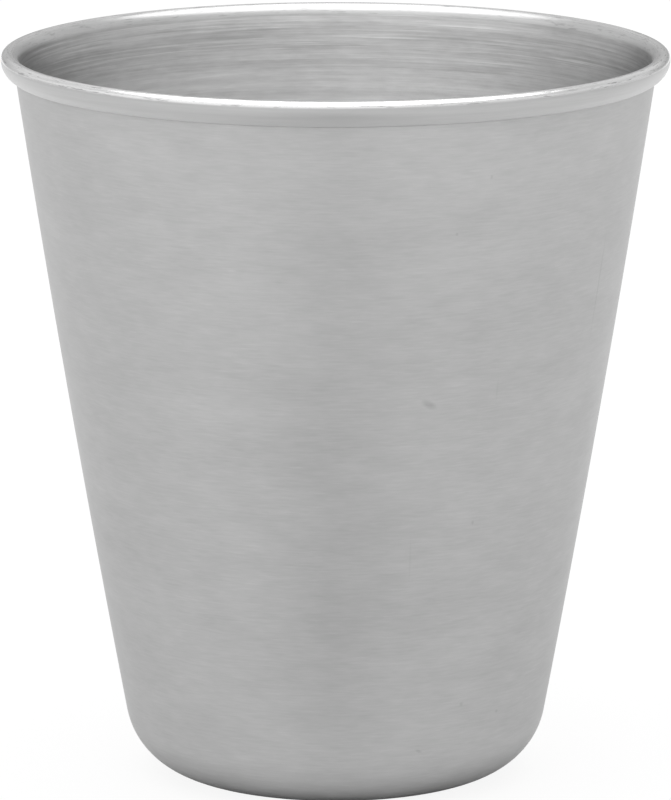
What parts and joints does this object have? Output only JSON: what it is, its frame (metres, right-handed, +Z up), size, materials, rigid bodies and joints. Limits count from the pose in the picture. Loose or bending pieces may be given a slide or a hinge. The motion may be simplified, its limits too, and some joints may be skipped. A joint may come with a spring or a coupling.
{
  "type": "shot glass",
  "caption": "Small tapered drinking cup of brushed stainless steel sheet, with a bowed wall, a large round base corner, a domed base panel and an outward rolled rim.",
  "frame": {"origin": "middle of the base, on the surface that the cup stands on", "axes": "+Z up along the cup's axis of revolution, towards the mouth; X and Y are alike"},
  "size_m": [0.045, 0.045, 0.0496],
  "materials": {
    "brushed_sheet": "satin, brushed round the cup",
    "polished_lip": "buffed bright over the top of the lip"
  },
  "bodies": {
    "root": {"cup_body": "brushed_sheet", "rolled_rim": "polished_lip"}
  },
  "joints": []
}
